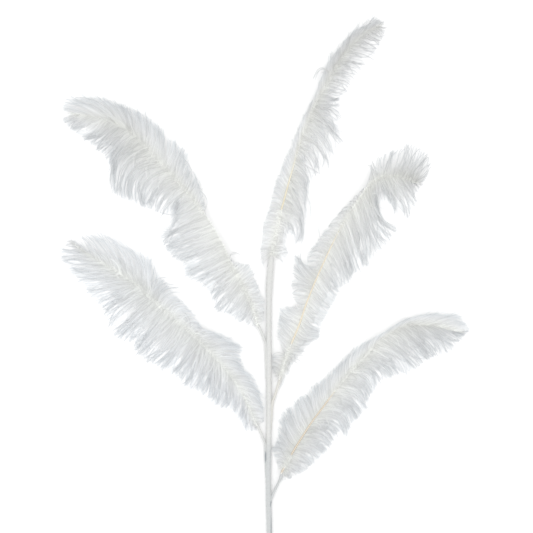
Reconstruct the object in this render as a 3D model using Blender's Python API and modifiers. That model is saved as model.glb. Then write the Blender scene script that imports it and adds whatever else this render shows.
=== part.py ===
"""Ostrich feather spray: a taped wire stem, four branch wires and five white ostrich feathers.

The spray lies on a flat surface at z = 0. The stem runs along +Y, towards the feathers' tips, and the
origin is on the surface under the middle of the spray. Each feather is one solid: a shaft that stands
out as a ridge between two vanes, and the vanes are cut into pointed locks. Run it with:
blender --background --python part.py
"""

import bmesh
import bpy
from mathutils import Vector

MM = 0.001

# Stem and wires
STEM_DIAMETER = 8 * MM
STEM_SIDES = 12
STEM_HEIGHT = 4 * MM  # of the stem's axis above the surface
STEM_POINTS = ((6, -347), (5, -256), (5, -218), (6, -181), (6, -81), (6, -31), (6, 7), (7, 29), (8, 41))
WIRE_DIAMETER = 3.5 * MM
WIRE_SIDES = 8
WIRE_HEIGHTS = (4 * MM, 6 * MM)  # of a wire's axis at the stem and at the feather
WIRES = {  # in plan, from the stem to the feather, in mm
    "branch_wire_lower_left": ((-0.3, -183), (-4.2, -174.5), (-8, -166.5)),
    "branch_wire_lower_right": ((11.2, -250), (15.2, -240), (20, -228)),
    "branch_wire_upper_left": ((-0.2, -60), (-3.6, -50.5), (-6.8, -42.5)),
    "branch_wire_upper_right": ((12.2, -128), (15, -119), (18, -108)),
}

# Shafts
SHAFT_BASE_DIAMETER = 3 * MM
SHAFT_TIP_DIAMETER = 1.4 * MM
QUILL_SHARE = 0.02  # of a shaft, bare at its base
QUILL_NARROWING = 0.6  # width of the quill's end, as a share of the ridge at the first lock
FINE_STEPS = 400  # on the smooth curve that a shaft follows
EVEN_STEPS = 100  # evenly spaced along it

# Vanes
VANE_THICKNESS = 2.2 * MM  # halfway out
FOOT_THICKNESS = 1.2 * MM  # at the foot of the shaft's ridge
FORK_THICKNESS = 1.8 * MM
TIP_THICKNESS = 1 * MM
RIDGE_FOOT = 2 * MM  # from the shaft's axis to where its ridge meets the vane
RIDGE_FOOT_DROP = 0.3 * MM
RIDGE_FOOT_SHARE = 0.2  # at most this share of a lock's length
MID_SHARE = 0.33  # of a lock's length, halfway to the fork
FORK_SHARE = 0.62  # of a lock's length, where it parts from its neighbours
LOCK_BOW = 0.14  # how far a lock bows towards the feather's tip, as a share of its length
VALLEY_DROP = 1.4 * MM  # the hollow between two locks
TOUCHDOWN = 0.62  # share of a lock's length where a drooping lock meets the surface
DROOP_POWER = 1.7
LYING_HEIGHT = 0.4 * MM  # middle of a vane where it lies on the surface
SHORT_TIP_HEIGHT = 0.35  # height of the short vane's tips, as a share of the shaft's height

SHADE_ANGLE = 0.7
WHITE_FEATHER = (0.80, 0.81, 0.81, 1)
WHITE_TAPE = (0.76, 0.77, 0.76, 1)

# Each feather in mm: its shaft in plan from base to tip, its shaft's heights at even steps from base to
# tip, and the tips in plan of the locks of its two vanes, which grow at even steps along the shaft. The
# drooping vane lies down on the surface. A tip's third number is a bow of its own in place of LOCK_BOW.
FEATHERS = {
    "feather_lower_left": {
        "shaft": ((-9, -163), (-18, -141), (-30, -116), (-45, -96), (-64, -74), (-85, -52), (-108, -33),
                  (-132, -11), (-158, 12), (-182, 29), (-208, 44), (-228, 57), (-242, 68)),
        "heights": (6, 14, 17, 18, 14, 6),
        "drooping": ((-12, -166), (-25, -159), (-34, -149), (-43, -141), (-56, -137), (-67, -130),
                     (-77, -120), (-92, -115), (-106, -106), (-120, -97), (-134, -90), (-152, -80),
                     (-166, -67), (-181, -54), (-199, -33), (-207, -11), (-228, 11), (-247, 31),
                     (-256, 47), (-256, 60), (-248, 69)),
        "short": ((0, -153), (-1, -134), (-6, -117), (-13, -106), (-21, -97), (-29, -82), (-33, -66),
                  (-45, -51), (-64, -43), (-83, -30), (-96, -16), (-108, -3), (-119, 18), (-133, 32),
                  (-146, 46), (-161, 56), (-176, 65), (-193, 73), (-214, 75), (-233, 73), (-245, 72)),
    },
    "feather_upper_left": {
        "shaft": ((-8, -39), (-12, -21), (-21, 1), (-30, 19), (-40, 37), (-48, 56), (-59, 76), (-72, 98),
                  (-86, 117), (-99, 132), (-112, 146), (-126, 161), (-140, 176), (-152, 189), (-166, 202),
                  (-181, 213), (-198, 219), (-215, 223), (-232, 226), (-246, 228)),
        "heights": (6, 14, 18, 20, 16, 8),
        "drooping": ((-14, -38), (-29, -31), (-46, -21), (-60, -14), (-72, 3), (-88, 16), (-98, 27),
                     (-112, 47), (-126, 67), (-124, 86), (-126, 101), (-144, 110), (-159, 117),
                     (-177, 120), (-190, 132), (-193, 154), (-206, 179), (-224, 199), (-240, 212),
                     (-249, 221), (-252, 227)),
        "short": ((0, -28), (0, -10), (-6, 10), (-15, 31), (-31, 43), (-41, 56), (-51, 74), (-61, 93),
                  (-68, 109), (-75, 126), (-82, 142), (-87, 155), (-93, 168), (-101, 183), (-117, 198),
                  (-137, 219), (-160, 234), (-185, 243), (-213, 249), (-237, 246), (-251, 234)),
    },
    "feather_lower_right": {
        "shaft": ((21, -223), (29, -208), (38, -192), (49, -174), (60, -157), (75, -137), (89, -118),
                  (102, -102), (115, -88), (130, -72), (145, -57), (160, -46), (176, -38), (195, -36),
                  (215, -38), (232, -42), (250, -47)),
        "heights": (6, 15, 18, 20, 16, 7),
        "drooping": ((30, -228), (46, -222), (59, -214), (72, -203), (84, -190), (95, -179), (105, -171),
                     (113, -157), (124, -147), (131, -129), (138, -115), (147, -106), (155, -99),
                     (169, -97), (184, -92), (198, -85), (214, -79), (228, -69), (240, -61), (250, -54),
                     (255, -48)),
        "short": ((17, -208), (14, -194), (13, -181), (20, -163), (28, -144), (40, -131), (53, -122),
                  (65, -113), (76, -100), (90, -83), (103, -72), (113, -60), (124, -53), (141, -48),
                  (156, -38), (170, -30), (186, -24), (203, -22), (221, -21), (241, -24), (257, -38)),
    },
    "feather_upper_right": {
        "shaft": ((19, -103), (24, -88), (29, -73), (35, -58), (44, -36), (52, -12), (61, 11), (71, 34),
                  (82, 58), (94, 82), (106, 103), (119, 121), (130, 136), (138, 144), (148, 148),
                  (159, 149), (171, 148), (184, 144), (195, 139)),
        "heights": (6, 15, 20, 22, 22, 10),
        "drooping": ((28, -102), (40, -89), (49, -76), (57, -62), (66, -50), (73, -34), (80, -22),
                     (87, -8), (95, 8), (107, 16), (116, 26), (124, 35), (133, 44), (142, 55), (150, 67),
                     (160, 80, 0.05), (153, 97, 0.04), (155, 119), (170, 102), (191, 118), (200, 136)),
        "short": ((13, -94), (10, -77), (16, -61), (20, -44), (20, -28), (27, -13), (36, -4),
                  (40, 44, -0.25), (51, 35), (50, 47), (60, 60), (70, 74), (81, 88), (92, 104),
                  (104, 115), (117, 128), (130, 147), (142, 167), (164, 179), (190, 183), (209, 159)),
    },
    "feather_top": {
        "shaft": ((9, 46), (12, 63), (16, 82), (20, 101), (25, 119), (30, 138), (36, 159), (42, 182),
                  (50, 204), (59, 227), (69, 247), (79, 264), (88, 279), (98, 296), (110, 312),
                  (124, 326), (138, 334), (150, 339)),
        "heights": (5, 14, 18, 18, 17, 9),
        "drooping": ((23, 42), (32, 56), (38, 64), (46, 70), (52, 86), (57, 110), (61, 134), (66, 148),
                     (73, 158), (82, 168), (93, 183), (99, 198), (97, 225), (100, 246), (111, 265),
                     (122, 281), (132, 292), (139, 304), (144, 315), (149, 326), (153, 335)),
        "short": ((-1, 42), (-4, 60), (-1, 80), (4, 99), (10, 118), (14, 135), (21, 155), (27, 172),
                  (33, 187), (38, 199), (43, 212), (50, 229), (59, 247), (64, 265), (71, 281), (82, 295),
                  (92, 308), (103, 322), (115, 335), (133, 344), (149, 343)),
    },
}


def remove_startup_objects():
    for obj in list(bpy.data.objects):
        bpy.data.objects.remove(obj, do_unlink=True)


def new_collection(name):
    collection = bpy.data.collections.new(name)
    bpy.context.scene.collection.children.link(collection)
    return collection


def make_material(name, colour, roughness):
    material = bpy.data.materials.new(name)
    material.use_nodes = True
    shader = material.node_tree.nodes["Principled BSDF"]
    shader.inputs["Base Color"].default_value = colour
    shader.inputs["Roughness"].default_value = roughness
    shader.inputs["Metallic"].default_value = 0
    return material


def finish(obj, material):
    obj.data.materials.clear()
    obj.data.materials.append(material)
    obj.data.shade_smooth()
    obj.data.set_sharp_from_angle(angle=SHADE_ANGLE)


def make_bar(name, points, diameter, sides, collection, material):
    """A round bar through the points: a curve with a bevel, made a mesh with its end caps welded on."""
    curve = bpy.data.curves.new(name, "CURVE")
    curve.dimensions = "3D"
    curve.bevel_depth = diameter / 2
    curve.bevel_resolution = (sides - 4) // 2
    curve.use_fill_caps = True
    spline = curve.splines.new("POLY")
    spline.points.add(len(points) - 1)
    for spot, place in zip(spline.points, points):
        spot.co = (*place, 1)
    guide = bpy.data.objects.new(name + "_guide", curve)
    collection.objects.link(guide)
    bpy.context.view_layer.update()
    mesh = bpy.data.meshes.new_from_object(guide.evaluated_get(bpy.context.evaluated_depsgraph_get()))
    shape = bmesh.new()
    shape.from_mesh(mesh)
    bmesh.ops.remove_doubles(shape, verts=shape.verts, dist=0.01 * MM)
    shape.to_mesh(mesh)
    shape.free()
    bar = bpy.data.objects.new(name, mesh)
    bar.matrix_world = guide.matrix_world
    collection.objects.link(bar)
    bpy.data.objects.remove(guide, do_unlink=True)
    finish(bar, material)


def make_stem(collection, material):
    points = [Vector((x * MM, y * MM, STEM_HEIGHT)) for x, y in STEM_POINTS]
    make_bar("main_stem", points, STEM_DIAMETER, STEM_SIDES, collection, material)


def make_wire(name, collection, material):
    plan = WIRES[name]
    low, high = WIRE_HEIGHTS
    rise = (high - low) / (len(plan) - 1)
    points = [Vector((x * MM, y * MM, low + rise * i)) for i, (x, y) in enumerate(plan)]
    make_bar(name, points, WIRE_DIAMETER, WIRE_SIDES, collection, material)


def smooth_point(points, share):
    """The point at a share of the way along a smooth curve through the points."""
    place = min(max(share, 0), 1) * (len(points) - 1)
    i = min(int(place), len(points) - 2)
    u = place - i
    before = points[i - 1] if i else 2 * points[0] - points[1]
    after = points[i + 2] if i + 2 < len(points) else 2 * points[-1] - points[-2]
    a, b = points[i], points[i + 1]
    return 0.5 * (2 * a + (b - before) * u + (2 * before - 5 * a + 4 * b - after) * u**2
                  + (3 * a - before - 3 * b + after) * u**3)


def shaft_line(feather):
    """Points along the shaft's axis, evenly spaced from the feather's base to its tip."""
    plan = [Vector((x, y, 0)) for x, y in feather["shaft"]]
    fine = [smooth_point(plan, i / FINE_STEPS) for i in range(FINE_STEPS + 1)]
    reached = [0]
    for a, b in zip(fine, fine[1:]):
        reached.append(reached[-1] + (b - a).length)
    heights = [Vector((0, 0, z)) for z in feather["heights"]]
    line = []
    i = 0
    for step in range(EVEN_STEPS + 1):
        share = step / EVEN_STEPS
        while i < FINE_STEPS - 1 and reached[i + 1] < share * reached[-1]:
            i += 1
        u = (share * reached[-1] - reached[i]) / (reached[i + 1] - reached[i])
        line.append((fine[i].lerp(fine[i + 1], u) + smooth_point(heights, share)) * MM)
    return line


def on_line(line, share):
    """The point at a share of the way along a line of evenly spaced points."""
    place = min(max(share, 0), 1) * (len(line) - 1)
    i = min(int(place), len(line) - 2)
    return line[i].lerp(line[i + 1], place - i)


def droop_height(top, u):
    """The height of a drooping lock at a share of its length, from a shaft at this height."""
    return LYING_HEIGHT + (top - LYING_HEIGHT) * max(0, 1 - (u / TOUCHDOWN) ** DROOP_POWER)


def short_height(top, u):
    return top * (1 - (1 - SHORT_TIP_HEIGHT) * u**DROOP_POWER)


def lock_points(line, share, tip, height_at):
    """The middle of a lock at the foot of the shaft's ridge, halfway, at the fork and at the tip."""
    x, y, *own_bow = tip
    bow = own_bow[0] if own_bow else LOCK_BOW
    root = on_line(line, share)
    ahead = on_line(line, share + 0.02) - on_line(line, share - 0.02)
    reach = Vector((x * MM - root.x, y * MM - root.y, 0))
    across = Vector((-reach.y, reach.x, 0))
    if across.dot(ahead) < 0:
        across.negate()
    elbow = reach / 2 + across * bow
    points = []
    for u in (min(RIDGE_FOOT / reach.length, RIDGE_FOOT_SHARE), MID_SHARE, FORK_SHARE, 1):
        flat = 2 * u * (1 - u) * elbow + u**2 * reach
        points.append(Vector((root.x + flat.x, root.y + flat.y, height_at(root.z, u))))
    points[0].z = root.z - RIDGE_FOOT_DROP
    return points


def halfway(lock, next_lock):
    """The valley between two locks, from the ridge's foot to the fork."""
    valley = [(a + b) / 2 for a, b in zip(lock[:-1], next_lock[:-1])]
    for point in valley[1:]:
        point.z = max(point.z - VALLEY_DROP, LYING_HEIGHT)
    return valley


def vane_columns(line, tips, height_at):
    """Points across one vane, in columns that follow a lock and a valley in turn from base to tip."""
    shares = lock_shares(len(tips))
    locks = [lock_points(line, share, tip, height_at) for share, tip in zip(shares, tips)]
    columns = []
    for lock, next_lock in zip(locks, locks[1:]):
        columns += [lock, halfway(lock, next_lock)]
    return columns + [locks[-1]]


def lock_shares(count):
    """Where the locks grow along a shaft, evenly from just past the quill to just short of the tip."""
    return [QUILL_SHARE + (1 - 1.5 * QUILL_SHARE) * i / (count - 1) for i in range(count)]


def add_points(shape, points, thicknesses):
    """Vertices that carry their thickness, as a weight that is 1 where the feather is thickest."""
    weight = shape.verts.layers.deform.verify()
    made = []
    for point, thickness in zip(points, thicknesses):
        vertex = shape.verts.new(point)
        vertex[weight][0] = thickness / SHAFT_BASE_DIAMETER
        made.append(vertex)
    return made


def join_columns(shape, left, right):
    """Faces between two columns of one vane, the last a triangle to the tip of whichever is a lock."""
    shorter = min(len(left), len(right))
    for row in range(shorter - 1):
        shape.faces.new((left[row], right[row], right[row + 1], left[row + 1]))
    tip = left[-1] if len(left) > shorter else right[-1]
    shape.faces.new((left[shorter - 1], right[shorter - 1], tip))


def feather_sheet(name, line, feather):
    """The feather as an open sheet through the middle of both vanes."""
    shape = bmesh.new()
    drooping = vane_columns(line, feather["drooping"], droop_height)
    short = vane_columns(line, feather["short"], short_height)
    across = (FOOT_THICKNESS, VANE_THICKNESS, FORK_THICKNESS, TIP_THICKNESS)
    previous = None
    for share, *columns in zip(lock_shares(len(drooping)), drooping, short):
        diameter = SHAFT_BASE_DIAMETER + (SHAFT_TIP_DIAMETER - SHAFT_BASE_DIAMETER) * share
        axis = add_points(shape, [on_line(line, share)], [diameter])
        sides = [axis + add_points(shape, column, across) for column in columns]
        if previous is None:
            add_quill(shape, line, sides)
        else:
            for before, side in zip(previous, sides):
                join_columns(shape, before, side)
        previous = sides
    bmesh.ops.recalc_face_normals(shape, faces=shape.faces)
    mesh = bpy.data.meshes.new(name)
    shape.to_mesh(mesh)
    shape.free()
    return mesh


def add_quill(shape, line, sides):
    """The bare end of the shaft, from the first lock back to the wire."""
    base = on_line(line, 0)
    axis = add_points(shape, [base], [SHAFT_BASE_DIAMETER])[0]
    for side in sides:
        foot = base + (side[1].co - side[0].co) * QUILL_NARROWING
        edge = add_points(shape, [foot], [FOOT_THICKNESS])[0]
        shape.faces.new((axis, edge, side[1], side[0]))


def make_feather(name, collection, material):
    feather = FEATHERS[name]
    obj = bpy.data.objects.new(name, feather_sheet(name, shaft_line(feather), feather))
    collection.objects.link(obj)
    group = obj.vertex_groups.new(name="thickness")
    solidify = obj.modifiers.new("vane_thickness", "SOLIDIFY")
    solidify.thickness = SHAFT_BASE_DIAMETER
    solidify.offset = 0
    solidify.vertex_group = group.name
    press_flat(obj)
    finish(obj, material)


def press_flat(obj):
    """Makes the thickness real, and presses flat what would reach below the surface that it lies on."""
    bpy.context.view_layer.update()
    mesh = bpy.data.meshes.new_from_object(obj.evaluated_get(bpy.context.evaluated_depsgraph_get()))
    obj.modifiers.clear()
    shape = bmesh.new()
    shape.from_mesh(mesh)
    for vertex in shape.verts:
        vertex.co.z = max(vertex.co.z, 0)
    bmesh.ops.recalc_face_normals(shape, faces=shape.faces)
    shape.to_mesh(mesh)
    shape.free()
    obj.data = mesh


def main():
    remove_startup_objects()
    spray = new_collection("ostrich_feather_spray")
    tape = make_material("white_tape", WHITE_TAPE, 0.75)
    plume = make_material("white_feather", WHITE_FEATHER, 0.9)
    make_stem(spray, tape)
    for name in WIRES:
        make_wire(name, spray, tape)
    for name in FEATHERS:
        make_feather(name, spray, plume)


main()
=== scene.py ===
import math

import bpy
import numpy as np
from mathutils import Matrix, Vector


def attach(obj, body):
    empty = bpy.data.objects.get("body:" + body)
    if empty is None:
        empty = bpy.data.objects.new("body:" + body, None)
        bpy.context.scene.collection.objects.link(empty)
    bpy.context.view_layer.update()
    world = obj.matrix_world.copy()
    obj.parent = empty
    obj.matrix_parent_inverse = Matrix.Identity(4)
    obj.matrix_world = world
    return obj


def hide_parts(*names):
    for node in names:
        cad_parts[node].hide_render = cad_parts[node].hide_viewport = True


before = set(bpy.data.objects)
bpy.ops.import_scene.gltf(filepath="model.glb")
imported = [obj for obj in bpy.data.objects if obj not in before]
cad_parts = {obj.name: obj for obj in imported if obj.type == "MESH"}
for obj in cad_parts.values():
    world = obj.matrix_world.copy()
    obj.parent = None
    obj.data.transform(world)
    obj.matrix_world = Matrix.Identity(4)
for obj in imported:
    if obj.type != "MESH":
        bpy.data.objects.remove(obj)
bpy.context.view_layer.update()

mm = 0.001
up = np.array((0.0, 0.0, 1.0))
print("frame loaded:", len(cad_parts), "nodes")


def deselectAll():
    bpy.ops.object.select_all(action="DESELECT")


def newMaterial(name, roughness):
    material = bpy.data.materials.new(name)
    material.use_nodes = True
    shader = material.node_tree.nodes["Principled BSDF"]
    shader.inputs["Roughness"].default_value = roughness
    return material, material.node_tree, shader


cameraLooks = {
    "height": 3.0,          # above the surface that the spray lies on, looking straight down
    "middle": (0.0031, 0.0363),
    "width": 0.66625,       # of the square view, measured at the height of the feathers
    "featherHeight": 0.008,
    "sensor": 36,
}


def addCamera(looks):
    x, y = looks["middle"]
    bpy.ops.object.camera_add(location=(x, y, looks["height"]), rotation=(0, 0, 0))
    camera = bpy.context.object
    camera.name = "overheadCamera"
    camera.data.sensor_width = looks["sensor"]
    camera.data.lens = looks["sensor"] * (looks["height"] - looks["featherHeight"]) / looks["width"]
    bpy.context.scene.camera = camera


studioLooks = {
    "skyStrength": 1.18,
    "keyPlace": (-0.2, 0.35, 3.0),
    "keySize": 3,
    "keyPower": 26,
    "floorSize": 14,
    "floorDepth": 0.2 * mm,     # under the surface that the spray lies on
    "floorColour": (0.85, 0.85, 0.85, 1),
    "floorRoughness": 0.9,
    "floorGloss": 0.1,
}


def addStudio(looks):
    scene = bpy.context.scene
    scene.view_settings.view_transform = "Standard"
    scene.world = bpy.data.worlds.new("paleStudio")
    scene.world.use_nodes = True
    sky = scene.world.node_tree.nodes["Background"]
    sky.inputs["Color"].default_value = (1, 1, 1, 1)
    sky.inputs["Strength"].default_value = looks["skyStrength"]
    bpy.ops.object.light_add(type="AREA", location=looks["keyPlace"])
    key = bpy.context.object
    key.name = "softKey"
    key.data.shape = "DISK"
    key.data.size = looks["keySize"]
    key.data.energy = looks["keyPower"]
    key.rotation_euler = (-Vector(looks["keyPlace"])).to_track_quat("-Z", "Y").to_euler()
    deselectAll()
    bpy.ops.mesh.primitive_plane_add(size=looks["floorSize"], location=(0, 0, -looks["floorDepth"]))
    floor = bpy.context.object
    floor.name = "paleFloor"
    paint, _, shader = newMaterial("paleFloorPaint", looks["floorRoughness"])
    shader.inputs["Base Color"].default_value = looks["floorColour"]
    shader.inputs["Specular IOR Level"].default_value = looks["floorGloss"]
    floor.data.materials.append(paint)


addCamera(cameraLooks)
addStudio(studioLooks)
print("camera, light and floor set")


def applyModifier(piece, name):
    bpy.context.view_layer.objects.active = piece
    bpy.ops.object.modifier_apply(modifier=name)


def turnFacesOut():
    bpy.ops.object.mode_set(mode="EDIT")
    bpy.ops.mesh.select_all(action="SELECT")
    bpy.ops.mesh.normals_make_consistent(inside=False)
    bpy.ops.object.mode_set(mode="OBJECT")


def shadeSmooth(piece, degrees):
    deselectAll()
    piece.select_set(True)
    bpy.ops.object.shade_smooth_by_angle(angle=math.radians(degrees))


def extrudedBar(name, stations, sides):
    # a round bar that stands up from the origin, extruded from one (height, radius) to the next
    deselectAll()
    bpy.ops.mesh.primitive_circle_add(vertices=sides, radius=stations[0][1], fill_type="NGON")
    bar = bpy.context.object
    bar.name = name
    bpy.ops.object.mode_set(mode="EDIT")
    for (low, radius), (high, nextRadius) in zip(stations, stations[1:]):
        share = nextRadius / radius
        bpy.ops.mesh.extrude_region_move(TRANSFORM_OT_translate={"value": (0, 0, high - low)})
        bpy.ops.transform.resize(value=(share, share, 1), center_override=(0, 0, high))
    turnFacesOut()
    return bar


def bendAlong(piece, path):
    # lays a piece that stands up from the origin along a path
    deselectAll()
    bpy.ops.curve.primitive_bezier_curve_add()
    guide = bpy.context.object
    guide.data.splines.clear()
    spline = guide.data.splines.new("POLY")
    spline.points.add(len(path) - 1)
    for spot, place in zip(spline.points, path):
        spot.co = (*place, 1)
    guide.data.twist_mode = "Z_UP"
    bend = piece.modifiers.new("bend", "CURVE")
    bend.object = guide
    bend.deform_axis = "POS_Z"
    applyModifier(piece, "bend")
    bpy.data.objects.remove(guide)


def smoothAt(points, shares):
    # a smooth curve through evenly numbered points, read at shares from 0 to 1
    points = np.asarray(points, float)
    if points.ndim == 1:
        points = points[:, None]
    place = np.clip(shares, 0, 1) * (len(points) - 1)
    i = np.minimum(place.astype(int), len(points) - 2)
    u = (place - i)[:, None]
    ends = np.vstack([2 * points[0] - points[1], points, 2 * points[-1] - points[-2]])
    before, a, b, after = ends[i], ends[i + 1], ends[i + 2], ends[i + 3]
    return 0.5 * (2 * a + (b - before) * u + (2 * before - 5 * a + 4 * b - after) * u**2
                  + (3 * a - before - 3 * b + after) * u**3)


def distancesAlong(path):
    return np.concatenate([[0], np.cumsum(np.linalg.norm(np.diff(path, axis=0), axis=1))])


def lengthOf(path):
    return float(np.linalg.norm(np.diff(path, axis=0), axis=1).sum())


barBuild = {
    "sides": 20,
    "rings": 60,
    "smoothness": 12,           # points on a bar's path for each one given
    "cutShare": 0.9,            # of the radius at the cut end's rim
    "cutDepth": 0.4 * mm,
    "taper": 9 * mm,            # length over which a bar narrows to its end radius
    "nose": 2 * mm,
    "noseShare": 0.7,           # of the end radius at the very end
    "bareEnd": 3 * mm,          # that the tape leaves
    # across the tape, how far it sinks as a share of its lift, and rises as a share of its width
    "tapeSteps": ((0.15, 0.1), (0.35, 0.35), (0.35, 0.35), (0.15, 0.2)),
    "turnSides": 24,
    "smoothAngle": 40,
}

stemLooks = {  # paths in mm, with their heights
    "path": ((6.5, -347, 4), (6.4, -287, 4), (5.6, -256, 4), (5.4, -218, 4), (5.9, -181, 4), (6.1, -81, 4),
             (6, -31, 4), (6.4, 7, 4.2), (7.7, 29, 4.7), (9.6, 50, 6.2)),
    "coreRadius": 3.2 * mm,
    "endRadius": 3 * mm,        # where the tape closes round the top feather's quill
    "swell": 1.28,              # of the radius over that quill
    "swellPlace": 28 * mm,      # down from the end
    "swellBlend": 26 * mm,
    "tapeLift": 0.35 * mm,      # of each turn's outer edge
    "tapePitch": 7.5 * mm,
    "tapeWidth": 9.5 * mm,
    "tapeThickness": 0.12 * mm,
    "crinkle": 0.28 * mm,
    "crinkleSize": 3.2 * mm,
}

wireLooks = {
    "coreRadius": 1.5 * mm,
    "endRadius": 1.4 * mm,
    "swell": 1.1,
    "swellPlace": 6 * mm,
    "swellBlend": 6 * mm,
    "tapeLift": 0.22 * mm,
    "tapePitch": 3.6 * mm,
    "tapeWidth": 5 * mm,
    "tapeThickness": 0.1 * mm,
    "crinkle": 0.14 * mm,
    "crinkleSize": 1.8 * mm,
}

# Each wire starts beside the stem's core, inside the tape, and ends under a feather's quill; in mm.
branchWires = {
    "branch_wire_lower_left": ((3.2, -228, 4), (2.3, -202, 4), (1.6, -187, 4.2), (-2, -177, 4.8),
                               (-7, -165, 5.2), (-11, -158, 5)),
    "branch_wire_lower_right": ((6.5, -275, 4), (7.6, -261, 4), (9.7, -252, 4.2), (13.3, -244, 4.8),
                                (20, -230, 5.2), (23, -221, 5)),
    "branch_wire_upper_left": ((3.6, -104, 4), (2.8, -78, 4), (2.2, -61, 4.2), (-0.5, -53, 4.8),
                               (-5, -42, 5.2), (-9, -35, 5)),
    "branch_wire_upper_right": ((7.8, -170, 4), (9.2, -149, 4), (10.4, -134, 4.2), (13, -127, 4.8),
                                (18, -111, 5.2), (21, -101, 5)),
}


def swellOut(bar, height, looks):
    # widens a bar that stands up from the origin, gently around one height
    widest = looks["swellBlend"] / 3
    deselectAll()
    bar.select_set(True)
    bpy.context.view_layer.objects.active = bar
    bpy.ops.object.mode_set(mode="EDIT")
    bpy.ops.mesh.select_all(action="DESELECT")
    bpy.ops.object.mode_set(mode="OBJECT")
    for vertex in bar.data.vertices:
        vertex.select = abs(vertex.co.z - height) < widest
    bpy.ops.object.mode_set(mode="EDIT")
    bpy.ops.transform.resize(value=(looks["swell"], looks["swell"], 1), center_override=(0, 0, height),
                             use_proportional_edit=True, proportional_edit_falloff="SMOOTH",
                             proportional_size=looks["swellBlend"])
    bpy.ops.object.mode_set(mode="OBJECT")


def tapeBand(name, length, looks, build):
    # a strip wound in a spiral round a bar that stands up from the origin, each turn over the one below
    deselectAll()
    bpy.ops.mesh.primitive_plane_add(size=1 * mm)
    band = bpy.context.object
    band.name = name
    radius, lift, width = looks["coreRadius"], looks["tapeLift"], looks["tapeWidth"]
    bpy.ops.object.mode_set(mode="EDIT")
    bpy.ops.mesh.merge(type="CENTER")
    bpy.ops.transform.translate(value=(radius + lift, 0, 0))
    for sink, rise in build["tapeSteps"]:
        step = (-sink * lift, 0, rise * width)
        bpy.ops.mesh.extrude_region_move(TRANSFORM_OT_translate={"value": step})
    bpy.ops.object.mode_set(mode="OBJECT")
    wind = band.modifiers.new("wind", "SCREW")
    wind.screw_offset = looks["tapePitch"]
    wind.iterations = max(1, round((length - width) / looks["tapePitch"]))
    wind.steps = wind.render_steps = build["turnSides"]
    wind.use_merge_vertices = False
    applyModifier(band, "wind")
    crumple = bpy.data.textures.new(name + "Crumple", "CLOUDS")
    crumple.noise_scale = looks["crinkleSize"]
    crinkle = band.modifiers.new("crinkle", "DISPLACE")
    crinkle.texture = crumple
    crinkle.strength = looks["crinkle"]
    applyModifier(band, "crinkle")
    turnFacesOut()
    wall = band.modifiers.new("wall", "SOLIDIFY")
    wall.thickness = looks["tapeThickness"]
    applyModifier(band, "wall")
    return band


def addTapedBar(node, path, looks, build, material):
    points = np.array(path) * mm
    points = smoothAt(points, np.linspace(0, 1, build["smoothness"] * len(points)))
    length = lengthOf(points)
    radius, end = looks["coreRadius"], looks["endRadius"]
    stations = [(0, radius * build["cutShare"]), (build["cutDepth"], radius),
                (length - build["taper"], radius), (length - build["nose"], end),
                (length, end * build["noseShare"])]
    heights = np.linspace(0, length, build["rings"])
    radii = np.interp(heights, *zip(*stations))
    core = extrudedBar(node + "_core", list(zip(heights, radii)), build["sides"])
    band = tapeBand(node + "_tape", length - build["bareEnd"], looks, build)
    deselectAll()
    core.select_set(True)
    band.select_set(True)
    bpy.context.view_layer.objects.active = band
    bpy.ops.object.join()
    swellOut(band, length - looks["swellPlace"], looks)
    bendAlong(band, points)
    shadeSmooth(band, build["smoothAngle"])
    band.data.materials.clear()
    band.data.materials.append(material)
    band.name = node + "_taped"
    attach(band, "root")
    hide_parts(node)
    print(node, "taped:", len(band.data.polygons), "faces")


tapeLooks = {
    "colour": (0.58, 0.588, 0.58, 1),
    "creaseColour": (0.515, 0.525, 0.52, 1),
    "creaseShares": (0.3, 0.6),         # of the crepe's noise, all crease below and none above
    "tinge": (1, 0.99, 0.97, 1),        # of yellow streaks
    "lowTint": (0.83, 0.85, 0.87, 1),   # of the tape's lower part, darker and bluer
    "lowPart": (-195 * mm, -175 * mm),  # where that part fades out
    # each scuff's middle and its size, in mm
    "scuffs": (((2, -202, 4), (1.3, 8, 5)), ((8.7, -261, 4), (1.6, 5, 5)), ((8.9, -296, 3), (1.5, 34, 5))),
    "scuffTint": (0.55, 0.58, 0.61, 1),
    "scuffFade": (1.1, 0.7),            # where a scuff starts and is full, as shares of its size
    "roughness": 0.62,
    "sheen": 0.6,                       # of the paper's fibres, seen along its surface
    "crepeScale": 900,
    "crepeDetail": 3,
    "streakScale": 260,
    "streakStretch": (1, 0.06, 1),      # long along the stem
    "bump": 0.25,
    "bumpDepth": 0.1 * mm,
}
creamTapeLooks = {**tapeLooks, "colour": (0.595, 0.592, 0.56, 1), "creaseColour": (0.53, 0.525, 0.495, 1)}


def addNode(tree, kind, inputs=(), **settings):
    node = tree.nodes.new("ShaderNode" + kind)
    for setting, value in settings.items():
        setattr(node, setting, value)
    for name, value in inputs:
        if isinstance(value, bpy.types.NodeSocket):
            tree.links.new(value, node.inputs[name])
        else:
            node.inputs[name].default_value = value
    return node


def addRamp(tree, share, stops):
    stops = list(stops)
    ramp = addNode(tree, "ValToRGB", [("Fac", share)])
    elements = ramp.color_ramp.elements
    while len(elements) < len(stops):
        elements.new(1)
    for element, (position, colour) in zip(elements, stops):
        element.position = position
        element.color = colour
    return ramp.outputs["Color"]


def tinted(tree, colour, tint, share):
    # the colour, multiplied by a tint where the share is 1; the mix node's colours are its sockets 6 and 7
    mix = addNode(tree, "Mix", data_type="RGBA", blend_type="MULTIPLY")
    tree.links.new(share, mix.inputs["Factor"])
    tree.links.new(colour, mix.inputs[6])
    mix.inputs[7].default_value = tint
    return mix.outputs[2]


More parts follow.
